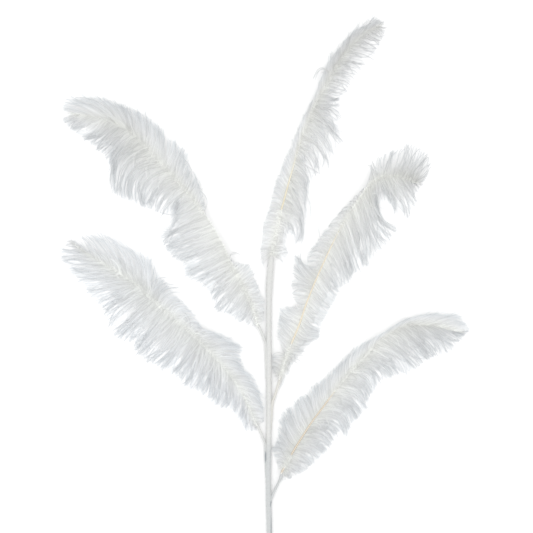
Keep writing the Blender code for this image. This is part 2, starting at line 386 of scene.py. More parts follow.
def makeTapeMaterial(name, looks):
    material, tree, shader = newMaterial(name, looks["roughness"])
    place = addNode(tree, "TexCoord").outputs["Object"]
    crepe = addNode(tree, "TexNoise", [("Vector", place), ("Scale", looks["crepeScale"]),
                                       ("Detail", looks["crepeDetail"])])
    colours = looks["creaseColour"], looks["colour"]
    colour = addRamp(tree, crepe.outputs["Fac"], zip(looks["creaseShares"], colours))
    stretched = addNode(tree, "Mapping", [("Vector", place), ("Scale", looks["streakStretch"])])
    streaks = addNode(tree, "TexNoise", [("Vector", stretched.outputs[0]), ("Scale", looks["streakScale"])])
    colour = tinted(tree, colour, looks["tinge"], streaks.outputs["Fac"])
    height = addNode(tree, "SeparateXYZ", [("Vector", place)])
    bottom, top = looks["lowPart"]
    low = addNode(tree, "MapRange", [("Value", height.outputs["Y"]), ("From Min", top),
                                     ("From Max", bottom)])
    colour = tinted(tree, colour, looks["lowTint"], low.outputs[0])
    start, full = looks["scuffFade"]
    for middle, size in looks["scuffs"]:
        away = addNode(tree, "VectorMath", [(0, place), (1, [v * mm for v in middle])], operation="SUBTRACT")
        shares = addNode(tree, "VectorMath", [(0, away.outputs[0]), (1, [v * mm for v in size])],
                         operation="DIVIDE")
        far = addNode(tree, "VectorMath", [(0, shares.outputs[0])], operation="LENGTH")
        scuff = addNode(tree, "MapRange", [("Value", far.outputs["Value"]), ("From Min", start),
                                           ("From Max", full)])
        colour = tinted(tree, colour, looks["scuffTint"], scuff.outputs[0])
    bump = addNode(tree, "Bump", [("Height", crepe.outputs["Fac"]), ("Strength", looks["bump"]),
                                  ("Distance", looks["bumpDepth"])])
    tree.links.new(colour, shader.inputs["Base Color"])
    tree.links.new(bump.outputs["Normal"], shader.inputs["Normal"])
    shader.inputs["Sheen Weight"].default_value = looks["sheen"]
    return material


whiteTape = makeTapeMaterial("whiteFloristTape", tapeLooks)
creamTape = makeTapeMaterial("creamFloristTape", creamTapeLooks)
addTapedBar("main_stem", stemLooks["path"], stemLooks, barBuild, whiteTape)
for wire, path in branchWires.items():
    tape = creamTape if wire == "branch_wire_upper_right" else whiteTape
    addTapedBar(wire, path, wireLooks, barBuild, tape)


# Each feather in mm: its shaft in plan from base to tip, and its heights at even steps. For its two vanes
# and for loose strands, which stand out alone: where along the shaft in percent a strand is rooted, where
# in plan it ends and how far it bows ahead. The drooping vane lies down on the surface. A vane's fullness
# is the share of its barbs that reach its edge, and the others stop at a share of the way in shorterReach.
# Fullness and tones are given at even steps along the shaft; the tones are partly the feather's own tone
# and partly painted shade and painted light. Curls is how much single barbs curl. The shaft shows in the
# bare stretches, each from and to a share of its length and fading out over another share.
feathers = {
    "lowerLeft": {
        "node": "feather_lower_left",
        "seed": 211,
        "curls": 1,
        "shaft": (
            (-9, -163), (-18, -141), (-30, -116), (-45, -96), (-64, -74), (-85, -52), (-108, -33),
            (-132, -11), (-158, 12), (-182, 29), (-208, 44), (-228, 57), (-242, 68)),
        "heights": (6, 14, 17, 18, 14, 6),
        "drooping": (
            (0, -6, -166, 0), (1, -11, -169, 0), (6, -22, -170, 0), (13, -30, -154, -0.2),
            (20, -41, -143, -0.1), (27, -60, -136, -0.1), (33, -77, -121, -0.1), (38, -99, -114, -0.15),
            (40, -110, -98, -0.1), (44, -130, -91, -0.1), (49, -146, -82, -0.05), (54, -161, -68, 0),
            (56, -162, -57, 0), (60, -181, -56, 0.05), (65, -195, -37, 0.1), (68.5, -201, -18, 0.1),
            (69.5, -206, -12, 0.1), (70.5, -218, -1, 0.1), (76, -232, 19, -0.1), (83, -249, 36, 0),
            (90, -255, 54, 0.1), (99, -247, 69, 0.15)),
        "short": (
            (1, 0, -157, -0.05), (7, 0, -146, 0.15), (13, -1, -136, 0.2), (21, -11, -107, 0.25),
            (26, -26, -93, 0.25), (30, -30, -82, 0.25), (34, -30, -64, 0.15), (37, -41, -56, 0.2),
            (43, -76, -43, 0.55), (50, -89, -22, 0.6), (56, -105, -6, 0.55), (60, -118, 8, 0.25),
            (63, -129, 22, 0.1), (66, -145, 47, -0.1), (68, -168, 57, -0.3), (72, -192, 72, -0.25),
            (78, -211, 76, -0.25), (87, -230, 74, -0.2), (98, -245, 69, 0.1)),
        "loose": (
            (33, -31, -72, 0.25), (31, -29, -82, 0.2), (60, -108, 9, 0.5), (62, -112, 13, 0.6),
            (63, -121, 23, 0.6), (61, -106, 10, 0.35), (59, -104, 4, 0.4), (61, -182, -53, 0.1),
            (62.5, -186, -47, 0.1), (78, -210, 79, -0.15), (44, -104, -18, -0.4), (51, -95, -34, 0.9),
            (53, -162, -77, 0.05), (38, -110, -98, 0)),
        "droopingFullness": (1, 1, 1, 0.85, 0.7, 0.6),
        "shortFullness": (1, 1, 0.95, 0.7, 0.6, 0.6),
        "droopingTones": (0.985, 0.97, 0.975, 1.0, 1.03, 0.91),
        "shortTones": (0.985, 0.995, 1.005, 1.03, 1.03, 0.875),
        "shorterReach": (0.3, 0.7),
        "tint": (0.997, 0.999, 1.004),
        "shaftColour": (0.7, 0.68, 0.6),
        "bareShaft": (),
    },
    "upperLeft": {
        "node": "feather_upper_left",
        "seed": 423,
        "curls": 1,
        "shaft": (
            (-8, -39), (-12, -21), (-21, 1), (-30, 19), (-40, 37), (-48, 56), (-59, 76), (-72, 98),
            (-86, 117), (-99, 132), (-112, 146), (-126, 161), (-140, 176), (-152, 189), (-166, 202),
            (-181, 213), (-198, 219), (-215, 223), (-232, 226), (-246, 228)),
        "heights": (6, 14, 18, 20, 16, 8),
        "drooping": (
            (1, -10, -40, 0.15), (7, -22, -36, -0.2), (13, -46, -24, -0.1), (16, -60, -18, 0.05),
            (20, -67, 2, 0.1), (23, -80, 18, 0.05), (26, -97, 23, 0.05), (30, -105, 42, 0.1),
            (34, -120, 57, 0), (38, -128, 68, 0), (41, -126, 76, 0), (45, -115, 88, 0.3),
            (49, -114, 107, 0.3), (52, -125, 102, 0.25), (57, -145, 112, 0.4), (60, -154, 115, 0.45),
            (66, -172, 120, 0.5), (71, -188, 127, 0.45), (74, -190, 163, 0.25), (80, -208, 184, 0),
            (87, -232, 201, -0.1), (93, -245, 211, 0), (97, -253, 222, 0)),
        "short": (
            (2, 0, -30, -0.3), (5, 0, -19, -0.05), (9, 0, -6, -0.05), (12, -6, 7, -0.1),
            (18, -18, 38, -0.05), (22, -39, 42, -0.1), (30, -54, 65, 0), (40, -73, 101, 0.2),
            (43, -73, 112, 0.3), (48, -84, 152, -0.1), (50, -88, 143, 0), (56, -101, 181, 0),
            (60, -112, 194, -0.05), (63, -124, 198, -0.15), (66, -131, 210, -0.15), (71, -150, 226, -0.2),
            (78, -180, 239, -0.2), (81, -211, 248, -0.2), (83, -236, 248, -0.2), (86, -248, 241, -0.2),
            (93, -251, 232, -0.1)),
        "loose": (
            (42, -80, 131, -0.5), (51, -107, 176, -0.5), (54, -109, 163, -0.4), (50, -89, 155, -0.5),
            (24, -30, 51, 0.9), (24, -35, 52, 0.6), (45, -130, 104, -0.3), (51, -130, 96, 0.15),
            (71, -149, 233, -0.1), (82, -236, 248, -0.3), (69, -189, 127, 0.7), (60, -155, 112, 0.4),
            (62, -160, 118, 0.6), (64, -168, 120, 0.65), (67, -178, 122, 0.6), (70, -186, 129, 0.55),
            (72, -186, 141, 0.4), (74, -187, 153, 0.35), (66, -174, 120, 0.45), (69, -183, 125, 0.45),
            (63.2, -164, 119.5, 0.62), (64.5, -169, 119, 0.55)),
        "droopingFullness": (1, 1, 1, 1, 0.9, 1),
        "shortFullness": (1, 1, 0.9, 0.95, 1, 1),
        "droopingTones": (1, 0.98, 0.97, 0.955, 0.95, 0.93),
        "shortTones": (1.005, 1, 0.99, 0.975, 0.945, 0.925),
        "shorterReach": (0.35, 0.8),
        "tint": (1, 1, 1),
        "shaftColour": (0.7, 0.68, 0.6),
        "bareShaft": (),
    },
    "lowerRight": {
        "node": "feather_lower_right",
        "seed": 237,
        "curls": 1.2,
        "shaft": (
            (21, -223), (29, -208), (38, -192), (49, -174), (60, -157), (75, -137), (89, -118),
            (102, -102), (115, -88), (130, -72), (145, -57), (160, -46), (176, -38), (195, -36),
            (215, -38), (232, -42), (250, -47)),
        "heights": (6, 15, 18, 20, 16, 7),
        "drooping": (
            (0, 22, -233, 0.1), (1, 30, -231, 0.1), (3, 41, -225, 0.15), (6, 54, -218, 0.1),
            (10, 63, -208, 0.2), (15, 80, -193, 0.3), (21, 90, -173, 0.4), (26, 106, -172, 0.55),
            (31, 111, -157, 0.5), (34, 120, -154, 0.5), (39, 128, -141, 0.45), (43, 130, -128, 0.45),
            (50, 143, -112, 0.4), (55, 161, -100, 0.35), (61, 181, -96, 0.2), (67, 194, -88, 0.2),
            (71, 204, -84, 0.2), (77, 220, -68, 0.2), (79, 229, -72, 0.2), (84, 242, -58, 0.1),
            (95, 256, -44, 0.1)),
        "short": (
            (1, 17, -216, 0.5), (3, 15, -206, 0.4), (7, 11, -191, 0.4), (9, 18, -181, 0.15),
            (12, 21, -153, -0.1), (17, 33, -139, -0.05), (22, 44, -128, 0), (25, 53, -126, 0.05),
            (29, 63, -114, -0.05), (32, 72, -107, -0.1), (40, 92, -88, -0.15), (48, 111, -69, -0.15),
            (54, 129, -57, -0.25), (60, 149, -49, -0.35), (64, 160, -42, -0.35), (71, 181, -28, -0.2),
            (78, 214, -23, -0.15), (85, 245, -27, -0.2), (96, 258, -43, -0.3)),
        "loose": (
            (7, 9, -191, 0.6), (6, 16, -178, -0.1), (49, 144, -108, 0.6), (47, 135, -116, 0.5),
            (65, 191, -89, 0.15), (76, 218, -77, 0.2), (57, 160, -101, 0.15), (12, 30, -153, -0.4),
            (14, 24, -156, 0.3), (85, 244, -58, 0)),
        "droopingFullness": (1, 1, 0.95, 0.8, 0.75, 0.85),
        "shortFullness": (1, 1, 1, 1, 1, 1),
        "droopingTones": (0.945, 0.955, 0.98, 1, 0.965, 1.02),
        "shortTones": (0.965, 0.97, 0.975, 0.98, 1, 0.96),
        "shorterReach": (0.35, 0.8),
        "tint": (1, 1, 1),
        "shaftColour": (0.55, 0.485, 0.39),
        "bareShaft": ((0, 0.03, 0.01), (0.08, 0.45, 0.12)),
    },
    "upperRight": {
        "node": "feather_upper_right",
        "seed": 41,
        "curls": 1,
        "shaft": (
            (19, -103), (24, -88), (29, -73), (35, -58), (44, -36), (52, -12), (61, 11), (71, 34),
            (82, 58), (94, 82), (106, 103), (119, 121), (130, 136), (138, 144), (148, 148), (159, 149),
            (171, 148), (184, 144), (195, 139)),
        "heights": (6, 14, 19, 21, 20.5, 10),
        "drooping": (
            (0, 19, -118, 0), (2, 26, -107, 0.15), (4, 31, -98, 0.1), (6, 34, -88, 0.1),
            (8, 39, -81, 0.05), (11, 47, -72, -0.05), (15, 54, -63, -0.25), (20, 68, -53, -0.2),
            (27, 72, -33, -0.15), (34, 82, -18, -0.05), (47, 95, 11, 0), (55, 109, 19, 0),
            (61, 112, 31, 0.05), (66, 124, 32, 0.05), (72, 136, 50, 0.05), (77, 154, 68, -0.15),
            (79, 166, 83, -0.3), (79.5, 150, 93, -0.2), (82, 141, 112, 0.1), (84, 153, 122, 0.2),
            (86, 166, 103, 0.05), (88, 180, 98, 0.05), (91, 189, 114, 0.05), (95, 192, 131, 0.1),
            (97, 199, 139, 0.1), (99, 207, 155, 0.05)),
        "short": (
            (0, 16, -119, 0), (1, 14, -104, -0.1), (2, 12, -95, -0.1), (5, 9, -82, 0.1), (7, 10, -77, 0.2),
            (8, 24, -73, 0), (9.5, 22, -64, 0), (12, 17, -50, 0.05), (17, 19, -32, 0.05), (22, 20, -17, 0),
            (29, 44, -12, -0.35), (32, 36, -2, 0), (35, 35, 13, 0.15), (39, 40, 51, -0.15),
            (43, 55, 30, 0.2), (48, 54.5, 51, 0.35), (55, 71.5, 74, 0.3), (61, 84, 92, 0.45),
            (71, 108, 119, 0.1), (78, 130, 140, -0.2), (80, 135, 155, -0.15), (83, 133, 168, 0),
            (87, 160, 180, -0.1), (92, 182, 188, 0.05), (95, 198, 185, 0.1), (97, 206, 174, 0),
            (99, 209, 161, 0)),
        "loose": (
            (80, 166, 83, -0.3), (78, 158, 67, 0), (76, 139, 62, 0.25), (74, 138, 42, 0.05),
            (83, 156, 126, 0.25), (88, 180, 97, 0.15), (8, 9, -76, 0.6), (7, 10, -78, 0.25),
            (39, 39, 51, -0.1), (38, 42, 49, -0.3), (71, 128, 38, 0.1), (22, 70, -49, -0.4),
            (98, 209, 161, 0.05), (52, 69, 89, -0.35), (37, 37, 38, -0.1), (36, 36, 28, 0),
            (6, 45, -88, 0.4), (7, 49, -85, 0.35), (8, 51, -76, 0.2), (9.5, 52, -70, 0.1),
            (59.5, 115, 29, 0.05), (62, 118, 32, 0.05)),
        "droopingFullness": (1, 1, 0.95, 0.85, 0.6, 0.6),
        "shortFullness": (0.6, 1, 0.75, 0.9, 0.55, 0.55),
        "droopingTones": (1.01, 1.01, 0.985, 0.99, 1.02, 0.96),
        "shortTones": (1, 0.995, 0.98, 0.965, 0.96, 0.885),
        "shorterReach": (0.3, 0.7),
        "tint": (1.001, 1, 0.997),
        "shaftColour": (0.66, 0.6, 0.48),
        "bareShaft": ((0, 0.012, 0.02), (0.13, 0.66, 0.14)),
    },
    "top": {
        "node": "feather_top",
        "seed": 53,
        "curls": 2.2,
        "shaft": (
            (9, 46), (12, 63), (16, 82), (20, 101), (25, 119), (30, 138), (36, 159), (42, 182), (50, 204),
            (59, 227), (69, 247), (79, 264), (88, 279), (98, 296), (110, 312), (124, 326), (138, 334),
            (150, 339)),
        "heights": (5, 14, 18, 18, 17, 9),
        "drooping": (
            (0, 20, 37, 0.6), (2, 30, 54, 0.15), (7, 27, 66, 0.5), (12, 27, 76, 0.4), (14.5, 31, 78, 0.4),
            (16.5, 41, 66, 0.55), (21, 46, 67, 0.4), (27, 46, 88, 0.3), (30, 53, 102, 0.3),
            (34, 54, 133, 0.3), (39, 62, 148, 0.1), (45, 73, 163, 0.4), (48, 80, 161, 0.35),
            (53, 85, 181, 0.25), (55, 99, 191, 0.1), (57, 91, 210, 0.1), (59, 96, 230, 0.1),
            (62, 92, 242, 0.1), (66, 104, 256, 0), (72, 109, 271, 0.2), (76, 121, 284, 0.3),
            (81, 135, 295, 0.1), (87, 142, 309, 0.2), (94, 149, 324, 0.15), (98, 154, 336, -0.05)),
        "short": (
            (0, -2, 36, 0.4), (3, -5, 57, 0.3), (6, -2, 68, 0.2), (12, -1, 88, 0.3), (18, 8, 112, 0.35),
            (24, 14, 140, 0.2), (32, 26, 169, 0.05), (38, 35, 190, 0), (45, 45, 213, -0.1),
            (49, 51, 226, -0.15), (54, 60, 240, -0.2), (59, 69, 257, -0.25), (62, 72, 268, -0.15),
            (66, 79, 283, -0.2), (71, 86, 300, -0.3), (78, 103.5, 317, -0.35), (84, 119, 337, -0.2),
            (90, 140, 347, -0.05), (98, 151, 342, -0.05)),
        "loose": (
            (71, 62, 272, 1), (71.5, 61, 270, 1.1), (72, 64, 270, 1), (69, 72, 279, 0.55),
            (60, 94, 241, -0.35), (49, 81, 159, 0.3), (46, 72, 158, 0.65), (38, 70, 152, 0),
            (27, 46, 68, 0.25), (23, 45, 68, 0.25), (30, 58, 99, 0.35), (52, 90, 194, 0.9),
            (71, 101, 257, 0.25), (75, 112, 274, 0.7), (82, 138, 294, 0.2), (58, 79, 197, 0.4),
            (61, 86, 241, -0.9), (57, 97, 222, 0.2), (58, 94, 229, 0.3), (53, 98, 194, 0.1),
            (47, 64, 160, 0.3), (43, 64, 150, 0.3), (16, 29, 78, 0.5), (9, 29, 69, 0.9), (89, 138, 349, 0)),
        "droopingFullness": (1, 0.65, 0.5, 0.45, 0.4, 0.85),
        "shortFullness": (0.95, 1, 1, 0.95, 0.95, 0.9),
        "droopingTones": (1.03, 1.03, 0.99, 1, 0.945, 0.87),
        "shortTones": (0.985, 1, 0.985, 0.97, 0.885, 0.85),
        "shorterReach": (0.2, 0.62),
        "tint": (1.002, 1, 0.999),
        "shaftColour": (0.64, 0.59, 0.455),
        "bareShaft": ((0.18, 0.52, 0.28),),
    },
}

barbLooks = {
    "longBarbs": 350,               # in each vane
    "evenAt": 0.8,                  # share of the barbs' length where they are evenly spaced
    "downyBarbs": 200,              # short ones that cover the long barbs' feet
    "downyReach": (0.16, 0.46),
    "wisps": 260,                   # fine bare ones
    "stations": 12,                 # points along a barb
    "roots": (0.004, 0.985),        # first and last root as shares of the shaft
    "rootAstray": 0.4,              # share of the room between two roots
    "halfWidth": 0.3 * mm,          # of a barb at its foot
    "tipHalfWidth": 0.14 * mm,
    "widthPower": 0.6,
    "ridge": 0.15 * mm,
    "triangles": 184000,            # of one feather
    "barbuleLength": 1.7 * mm,
    "barbulePlaces": (0, 0.8, 1),   # along the barb, where that length has these shares:
    "barbuleShares": (1, 0.9, 0.62),
    "barbuleUneven": (0.65, 1.15),  # the shortest and the longest beside each other
    "barbuleSpread": (0.95, 0.6),   # radians away from the barb, at its foot and at its tip
    "spreadAstray": 0.18,           # strays are standard deviations, but the roots' is not
    "barbuleLift": 0.25,
    "combStart": 0.03,              # share of the barb before its first barbule
    "fewestBarbules": 4,
    "lock": (6, 20),                # barbs that bow alike
    "lockBow": 0.06,
    "bowAstray": 0.03,
    "lockAstray": 0.004,
    "lockTone": 0.012,
    "clump": (1, 3),                # barbs whose tips lean together
    "clumpPull": 0.55,
    "clumpUneven": (0.2, 1.2),
    "clumpCurl": 0.8,
    "ownCurl": 0.6,
    "leanFrom": 0.7,                # share of the barb's length
    "wave": 0.028,                  # sideways, as a share of the barb's length
    "waveTurns": (4, 9),            # radians along the barb
    "wavePhase": (0, 6),
    "curl": 0.063,                  # of the barb's tip, as such a share
    "curlFrom": 0.6,
    "reach": 1.02,                  # of the barbs, against the vane's edge
    "raggedness": 0.035,            # as a share of that
    "astray": 0.008,                # how far along the shaft a barb's tip strays, as a share
    "touchdown": 0.62,              # share of a drooping barb's length where it meets the surface
    "droopPower": 1.7,
    "lyingHeight": 0.4 * mm,
    "lowestPoint": 0.05 * mm,
    "droopingAstray": 1.4 * mm,     # up and down, at the tips
    "shortAstray": 1.2 * mm,
    "shortTipHeight": 0.35,         # share of its root's height
    "downyFall": 0.4,               # share of a long barb's fall
    "coverRise": 1.8 * mm,          # of downy barbs that cross over the shaft
    "coverReach": 7 * mm,           # past the shaft, times the share of the vane that they reach
    "wispReach": 1.035,
    "loneWidth": 0.65,              # of barbs that reach the edge where few do
    "loneShade": 0.14,               # painted shade: how much darker they are
    "looseWidth": 0.65,
    # painted shade: how much darker the loose strands are
    "looseShade": 0.17,
    "looseStoutness": 1.6,
    "fullRoom": 330 * mm,           # between barbs for barbules of full length, times the number of barbs
    "leastRoom": 0.4,
    "unevenTone": (-0.147, 0.063),  # of the darkest and the palest barb
    "shadeLength": 30 * mm,          # of barbs whose tips are fully grey with painted shade
    "shadePower": 0.6,
    "shadeShares": (0.9, 1, 0.35, 0.35, 1, 0.9, 1),  # of painted shade, for each group of barbs in addBarbs
}


def shaftAt(feather, shares):
    # points on the shaft's axis at shares of its length in plan, which is measured in 800 small steps
    fine = smoothAt(feather["shaft"], np.linspace(0, 1, 801))
    reached = distancesAlong(fine)
    wanted = np.clip(shares, 0, 1) * reached[-1]
    plan = np.stack([np.interp(wanted, reached, fine[:, k]) for k in (0, 1)], 1)
    return np.hstack([plan, smoothAt(feather["heights"], shares)]) * mm


def aheadAt(feather, shares):
    # the way that the shaft runs at these shares
    step = 0.01
    return shaftAt(feather, shares + step) - shaftAt(feather, shares - step)


def edgeAt(feather, side, shares):
    # where in plan the strands rooted at these shares end, and their bows
    percent, x, y, bow = np.array(feather[side]).T
    ends = np.stack([np.interp(shares * 100, percent, x), np.interp(shares * 100, percent, y)], 1) * mm
    return ends, np.interp(shares * 100, percent, bow)[:, None]


def unit(vectors):
    return vectors / np.maximum(np.linalg.norm(vectors, axis=-1, keepdims=True), 1e-12)


def rootShares(feather, side, count, looks, rng):
    # denser where the vane fans out, so that the barbs are evenly spaced well out from the shaft, which
    # is measured in 400 small steps
    first, last = looks["roots"]
    fine = np.linspace(first, last, 401)
    foot = shaftAt(feather, fine)[:, :2]
    spaced = foot + (edgeAt(feather, side, fine)[0] - foot) * looks["evenAt"]
    reached = distancesAlong(spaced)
    astray = looks["rootAstray"]
    wanted = (np.arange(count) + 0.5 + rng.uniform(-astray, astray, count)) / count * reached[-1]
    return np.interp(wanted, reached, fine)


def bundles(count, size, rng):
    # the bundle that each barb belongs to, and each bundle's middle barb
    sizes = rng.integers(size[0], size[1] + 1, count)
    member = np.searchsorted(np.cumsum(sizes), np.arange(count), side="right")
    middle = np.array([np.flatnonzero(member == m).mean() for m in range(member.max() + 1)])
    return member, middle


def covered(feather, shares):
    # 1 where downy barbs hide the shaft, 0 where it shows
    bare = np.zeros(len(shares))
    fadeIn = 0.01
    for start, end, fadeOut in feather["bareShaft"]:
        shown = np.minimum((shares - start) / fadeIn, (end - shares) / fadeOut)
        bare = np.maximum(bare, np.clip(shown, 0, 1))
    return 1 - bare


def curvedPaths(root, ahead, reach, bow, stations):
    # in plan, from the root to the end of its reach, leaning ahead on the way
    across = np.stack([-reach[:, 1], reach[:, 0]], 1)
    across *= np.sign((across * ahead[:, :2]).sum(1, keepdims=True))
    u = np.linspace(0, 1, stations)[None, :, None]
    elbow = reach / 2 + across * bow
    plan = root[:, None, :2] + 2 * u * (1 - u) * elbow[:, None] + u**2 * reach[:, None]
    return plan, across, u


def roomBetween(feather, side, shares, ahead, looks):
    # how long barbules can be along each barb, as shares of their full length: less where barbs crowd
    root = shaftAt(feather, shares)
    end, bow = edgeAt(feather, side, shares)
    plan = curvedPaths(root, ahead, end - root[:, :2], bow, looks["stations"])[0]
    gap, along = np.gradient(plan, axis=0), unit(np.gradient(plan, axis=1))
    room = np.abs(gap[..., 0] * along[..., 1] - gap[..., 1] * along[..., 0]) * len(shares)
    return np.clip(room / looks["fullRoom"], looks["leastRoom"], 1)


def barbHeights(side, kind, top, u, looks, rng):
    # drooping barbs fall to the surface and lie on it, and short ones stand out and dip a little
    full = u * (looks["downyFall"] if kind == "downyBarbs" else 1)
    if side == "drooping":
        fall = np.maximum(0, 1 - (full / looks["touchdown"]) ** looks["droopPower"])
        height = looks["lyingHeight"] + (top - looks["lyingHeight"]) * fall
        return height + np.abs(rng.normal(0, looks["droopingAstray"], top.shape)) * u**2
    height = top * (1 - (1 - looks["shortTipHeight"]) * full ** looks["droopPower"])
    return height + rng.normal(0, looks["shortAstray"], top.shape) * u**2


def barbPaths(feather, side, kind, looks, rng):
    count = looks[kind]
    shares = np.sort(rootShares(feather, side, count, looks, rng))
    root = shaftAt(feather, shares)
    ahead = aheadAt(feather, shares)
    lock, locks = bundles(count, looks["lock"], rng)
    member, middle = bundles(count, looks["clump"], rng)
    clumpShare = np.interp(middle, np.arange(count), shares)[member]
    tipShare = shares + rng.normal(0, looks["astray"], count)
    tipShare += rng.normal(0, looks["lockAstray"], len(locks))[lock]
    ragged = looks["raggedness"]
    stretch = looks["reach"] + rng.normal(0, ragged, len(middle))[member]
    stretch -= np.abs(rng.normal(0, ragged, count))
    fullness = smoothAt(feather[side + "Fullness"], shares)[:, 0]
    shorter = rng.uniform(0, 1, count) > fullness
    stretch *= np.where(shorter, rng.uniform(*feather["shorterReach"], count), 1)
    lone = np.where(shorter, 0, 1 - fullness)
    end, bow = edgeAt(feather, side, tipShare)
    reach = (end - root[:, :2]) * stretch[:, None]
    pull = looks["clumpPull"] * rng.uniform(*looks["clumpUneven"], len(middle))[member]
    lean = (edgeAt(feather, side, clumpShare)[0] - edgeAt(feather, side, shares)[0]) * pull[:, None]
    bow = bow + rng.normal(0, looks["bowAstray"], (count, 1))
    bow = bow + rng.normal(0, looks["lockBow"], len(locks))[lock][:, None]
    if kind == "downyBarbs":
        shortened = rng.uniform(*looks["downyReach"], (count, 1))
        reach *= shortened
        lean *= shortened
        cover = covered(feather, shares)[:, None]
        over = unit(reach) * cover * shortened * looks["coverReach"]
        root[:, :2] -= over
        root[:, 2:] += cover * looks["coverRise"]
        reach += over
    plan, across, u = curvedPaths(root, ahead, reach, bow, looks["stations"])
    widths = np.repeat(1 - lone[:, None] * (1 - looks["loneWidth"]), looks["stations"], 1)
    if kind == "longBarbs":
        widths *= roomBetween(feather, side, shares, ahead, looks)
    turns = rng.uniform(*looks["waveTurns"], (count, 1, 1))
    phase = rng.uniform(*looks["wavePhase"], (count, 1, 1))
    swing = rng.normal(0, looks["wave"], (count, 1, 1)) * np.sin(u * turns + phase) * u
    curl = rng.normal(0, looks["clumpCurl"], len(middle))[member]
    curl += rng.normal(0, looks["ownCurl"], count) * feather["curls"]
    curled = np.clip((u - looks["curlFrom"]) / (1 - looks["curlFrom"]), 0, 1) ** 2
    plan = plan + across[:, None] * (swing + looks["curl"] * curl[:, None, None] * curled)
    plan = plan + lean[:, None] * np.clip((u - looks["leanFrom"]) / (1 - looks["leanFrom"]), 0, 1)
    height = barbHeights(side, kind, root[:, None, 2:], u, looks, rng)
    # random tone, with painted shade on the lone barbs
    tones = 1 + rng.uniform(*looks["unevenTone"], count) - looks["loneShade"] * lone
    tones += rng.normal(0, looks["lockTone"], len(locks))[lock]
    return np.concatenate([plan, height], 2), shares, tones, widths


def loosePaths(feather, looks):
    percent, x, y, bow = np.array(feather["loose"]).T
    shares = percent / 100
    root = shaftAt(feather, shares)
    ahead = aheadAt(feather, shares)
    reach = np.stack([x, y], 1) * mm - root[:, :2]
    plan, across, u = curvedPaths(root, ahead, reach, bow[:, None], looks["stations"])
    height = root[:, None, 2:] * (1 - (1 - looks["shortTipHeight"]) * u ** looks["droopPower"])
    # painted shade on the loose strands
    tones = np.full(len(shares), 1 - looks["looseShade"])
    widths = np.full((len(shares), looks["stations"]), looks["looseWidth"])
    return np.concatenate([plan, height], 2), shares, tones, widths


def framesAlong(paths):
    ahead = unit(np.gradient(paths, axis=1))
    aside = unit(np.cross(ahead, up))
    return ahead, aside, np.cross(aside, ahead)


def barbRibbons(paths, stoutness, looks):
    # ridged ribbons that taper to the barbs' tips
    count, stations = paths.shape[:2]
    ahead, aside, above = framesAlong(paths)
    u = np.linspace(0, 1, stations)[None, :, None]
    tip = looks["tipHalfWidth"]
    half = tip + (looks["halfWidth"] - tip) * (1 - u) ** looks["widthPower"]
    half = half * stoutness[:, None, None]
    ridge = paths + above * looks["ridge"] * (1 - u)
    points = np.stack([paths - aside * half, ridge, paths + aside * half], 2)
    index = np.arange(count * stations * 3).reshape(count, stations, 3)
    a, b = index[:, :-1, :-1], index[:, :-1, 1:]
    c, d = index[:, 1:, 1:], index[:, 1:, :-1]
    halves = np.stack([a, b, c], -1), np.stack([a, c, d], -1)
    triangles = np.concatenate([part.reshape(-1, 3) for part in halves])
    along = np.broadcast_to(u, (count, stations, 3))
    barb = np.broadcast_to(np.arange(count)[:, None, None], (count, stations, 3))
    return points.reshape(-1, 3), triangles, along.reshape(-1), barb.reshape(-1)


def onPaths(values, barb, along):
    place = along * (values.shape[1] - 1)
    i = np.minimum(place.astype(int), values.shape[1] - 2)
    u = (place - i)[:, None]
    return values[barb, i] * (1 - u) + values[barb, i + 1] * u


def barbuleCombs(paths, widths, looks, budget, rng):
    # along both sides of each barb, a comb of pointed barbules whose feet join on
    lengths = np.linalg.norm(np.diff(paths, axis=1), axis=2).sum(1)
    step = lengths.sum() * 2 / budget
    counts = np.maximum(looks["fewestBarbules"], np.floor(lengths / step)).astype(int)
    first = looks["combStart"]
    ahead, aside, above = framesAlong(paths)
    parts = []
    start = 0
    for hand in (-1, 1):
        feetBarb = np.repeat(np.arange(len(counts)), counts + 1)
        firstFoot = np.concatenate([[0], np.cumsum(counts + 1)[:-1]])
        feetStep = np.arange(len(feetBarb)) - firstFoot[feetBarb]
        feetAlong = first + (1 - first) * feetStep / counts[feetBarb]
        feet = onPaths(paths, feetBarb, feetAlong)
        feet += hand * onPaths(aside, feetBarb, feetAlong) * looks["tipHalfWidth"]
        barb = np.repeat(np.arange(len(counts)), counts)
        firstTip = np.concatenate([[0], np.cumsum(counts)[:-1]])
        number = np.arange(len(barb)) - firstTip[barb]
        along = first + (1 - first) * (number + 0.5) / counts[barb]
        spread = np.interp(along, (0, 1), looks["barbuleSpread"])
        spread += rng.normal(0, looks["spreadAstray"], len(barb))
        lift = rng.normal(0, looks["barbuleLift"], len(barb))
        profile = np.interp(along, looks["barbulePlaces"], looks["barbuleShares"])
        profile *= onPaths(widths[..., None], barb, along)[:, 0]
        size = looks["barbuleLength"] * profile * rng.uniform(*looks["barbuleUneven"], len(barb))
        aim = (onPaths(ahead, barb, along) * np.cos(spread)[:, None]
               + hand * onPaths(aside, barb, along) * (np.sin(spread) * np.cos(lift))[:, None]
               + onPaths(above, barb, along) * (np.sin(spread) * np.sin(lift))[:, None])
        tips = onPaths(paths, barb, along) + aim * size[:, None]
        points = np.concatenate([feet, tips])
        foot = firstFoot[barb] + number
        ends = np.arange(len(tips)) + len(feet)
        triangles = np.stack([foot, foot + 1, ends][::hand], 1) + start
        owners = np.concatenate([feetBarb, barb])
        parts.append((points, triangles, np.concatenate([feetAlong, along]), owners))
        start += len(points)
    return [np.concatenate(column) for column in zip(*parts)]


